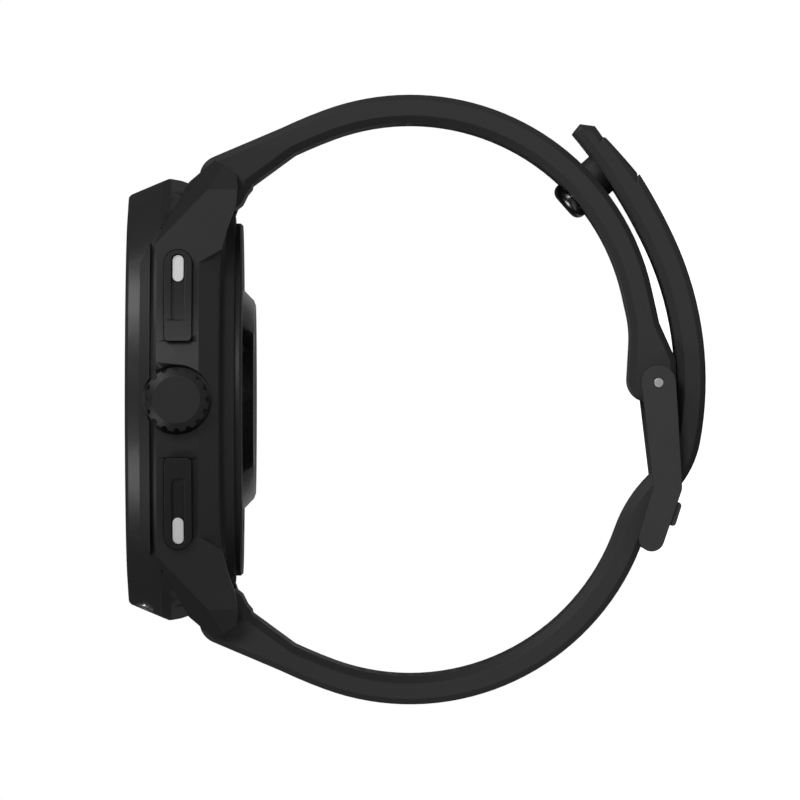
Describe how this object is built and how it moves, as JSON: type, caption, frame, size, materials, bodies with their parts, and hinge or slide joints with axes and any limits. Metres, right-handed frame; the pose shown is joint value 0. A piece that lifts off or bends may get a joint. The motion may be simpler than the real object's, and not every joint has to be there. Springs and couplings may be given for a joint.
{
  "type": "golf gps watch",
  "caption": "Round sports watch on a closed silicone band: press-and-turn crown, two long side buttons, stud-and-loop clasp, raised rear sensor.",
  "frame": {"origin": "middle of the flat sensor window on the back, where the watch touches the wrist", "axes": "+Z out of the display, +Y to 12 o'clock along the strap, +X to the crown side at 3 o'clock"},
  "size_m": [0.0527, 0.067, 0.064],
  "materials": {
    "case_polymer": "fine matte moulded polymer",
    "bezel_metal": "satin black coated metal",
    "cover_polymer": "fine matte moulded polymer",
    "display_glass": "polished mineral glass",
    "display_panel": "unlit black display",
    "sensor_window": "polished dark lens",
    "seal_rubber": "matte",
    "strap_silicone": "silky matte silicone",
    "stud_metal": "dark polished metal",
    "buckle_metal": "satin black coated metal",
    "control_metal": "satin black coated metal",
    "button_inlay": "light grey filled inlay",
    "bright_steel": "bright steel",
    "bushing_brass": "plain brass and gold plate",
    "board_green": "solder mask",
    "inner_plastic": "moulded plastic",
    "battery_wrap": "foil pouch",
    "motor_can": "pressed steel can"
  },
  "bodies": {
    "case": {"antenna_ring": "bushing_brass", "back_cover": "cover_polymer", "back_gasket": "seal_rubber", "back_screws": "bright_steel", "battery": "battery_wrap", "bezel": "bezel_metal", "bezel_seal": "seal_rubber", "charge_contacts": "bushing_brass", "crown_bushing": "bushing_brass", "crown_encoder": "inner_plastic", "crown_spring": "bright_steel", "display_glass": "display_glass", "display_panel": "display_panel", "glass_gasket": "seal_rubber", "inner_carrier": "inner_plastic", "long_strap": "strap_silicone", "lower_bar_spring": "bright_steel", "lower_button_seal": "seal_rubber", "lower_button_spring": "bright_steel", "lower_spring_bar": "bright_steel", "lower_switch": "inner_plastic", "main_board": "board_green", "mid_case": "case_polymer", "port_mesh": "bright_steel", "port_rim": "bright_steel", "sensor_board": "board_green", "sensor_window": "sensor_window", "short_strap": "strap_silicone", "side_board": "board_green", "upper_bar_spring": "bright_steel", "upper_button_seal": "seal_rubber", "upper_button_spring": "bright_steel", "upper_spring_bar": "bright_steel", "upper_switch": "inner_plastic", "vibration_motor": "motor_can"},
    "upper_button": {"upper_button": "control_metal", "upper_button_inlay": "button_inlay", "upper_button_stem": "bright_steel"},
    "lower_button": {"lower_button": "control_metal", "lower_button_inlay": "button_inlay", "lower_button_stem": "bright_steel"},
    "crown_slider": {"crown_washer": "bright_steel"},
    "crown": {"crown_knob": "control_metal", "crown_stem": "bright_steel", "crown_seal": "seal_rubber", "crown_clip": "bright_steel"},
    "upper_release": {"upper_release_pin": "bright_steel"},
    "lower_release": {"lower_release_pin": "bright_steel"},
    "strap_tail": {"strap_tip": "strap_silicone", "stud": "stud_metal", "stud_collar": "strap_silicone", "stud_pad": "strap_silicone"},
    "buckle": {"buckle_frame": "buckle_metal", "buckle_pin": "bright_steel"}
  },
  "joints": [
    {"name": "upper_button_press", "type": "slide", "parent": "case", "child": "upper_button", "axis": [-1, 0, 0], "range_m": [0, 0.0006], "stiffness_N_per_m": 900, "deforming": ["upper_button_spring"]},
    {"name": "lower_button_press", "type": "slide", "parent": "case", "child": "lower_button", "axis": [-1, 0, 0], "range_m": [0, 0.0006], "stiffness_N_per_m": 900, "deforming": ["lower_button_spring"]},
    {"name": "crown_press", "type": "slide", "parent": "case", "child": "crown_slider", "axis": [-1, 0, 0], "range_m": [0, 0.0005], "stiffness_N_per_m": 900, "deforming": ["crown_spring"]},
    {"name": "crown_spin", "type": "hinge", "parent": "crown_slider", "child": "crown", "pos_m": [0.0246, 0, 0.0084], "axis": [1, 0, 0], "continuous": true},
    {"name": "upper_release_pull", "type": "slide", "parent": "case", "child": "upper_release", "axis": [-1, 0, 0], "range_m": [0, 0.0019], "stiffness_N_per_m": 400, "deforming": ["upper_bar_spring"]},
    {"name": "lower_release_pull", "type": "slide", "parent": "case", "child": "lower_release", "axis": [-1, 0, 0], "range_m": [0, 0.0019], "stiffness_N_per_m": 400, "deforming": ["lower_bar_spring"]},
    {"name": "strap_tail_peel", "type": "hinge", "parent": "case", "child": "strap_tail", "pos_m": [0, 0.01353, -0.04781], "axis": [-1, 0, 0], "range_deg": [0, 30], "stiffness_Nm_per_rad": 0.05, "deforming": ["stud"]},
    {"name": "buckle_swing", "type": "hinge", "parent": "case", "child": "buckle", "pos_m": [0, 0.00185, -0.04438], "axis": [1, 0, 0], "range_deg": [0, 12]}
  ]
}
